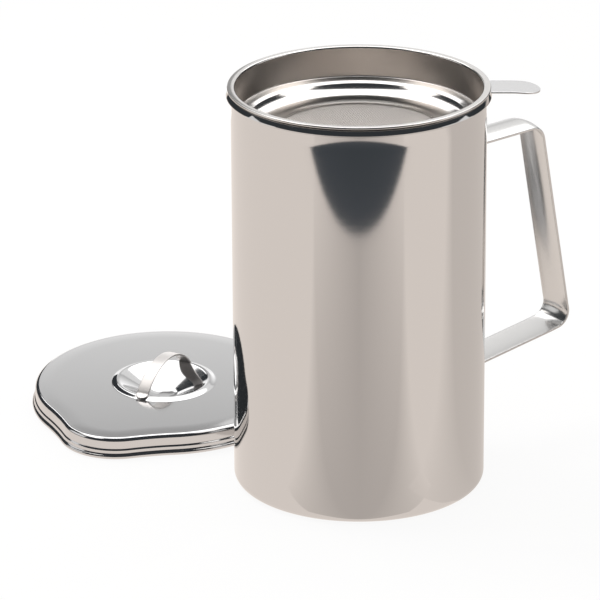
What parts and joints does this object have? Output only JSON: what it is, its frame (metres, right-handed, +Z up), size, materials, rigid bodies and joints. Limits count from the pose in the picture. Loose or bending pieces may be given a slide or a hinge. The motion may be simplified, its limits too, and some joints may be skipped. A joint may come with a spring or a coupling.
{
  "type": "grease container",
  "caption": "Tall steel grease pot with a strap handle, a drop-in mesh strainer with a finger tab, and a loose lobed lid with a sunken finger cup and strap.",
  "frame": {"origin": "centre of the pot's flat base, on the surface that it stands on", "axes": "+Z up along the pot's axis, +X out through the middle of the handle"},
  "size_m": [0.208, 0.2441, 0.1879],
  "materials": {
    "pot_steel": "satin, finely brushed round the wall",
    "lid_steel": "smooth satin",
    "polished_steel": "polished",
    "woven_wire": "plain-woven wire"
  },
  "bodies": {
    "pot": {"pot_shell": "pot_steel", "handle_strap": "polished_steel"},
    "strainer": {"strainer_pan": "polished_steel", "strainer_mesh": "woven_wire", "mesh_clamp_ring": "polished_steel", "strainer_tab": "polished_steel"},
    "lid": {"lid_shell": "lid_steel", "lid_strap": "polished_steel"}
  },
  "joints": [
    {"name": "strainer_lift", "type": "slide", "parent": "pot", "child": "strainer", "axis": [0, 0, 1], "range_m": [0, 0.1]},
    {"name": "lid_lift", "type": "slide", "parent": "pot", "child": "lid", "axis": [0, 0, 1], "range_m": [0, 0.2]}
  ]
}
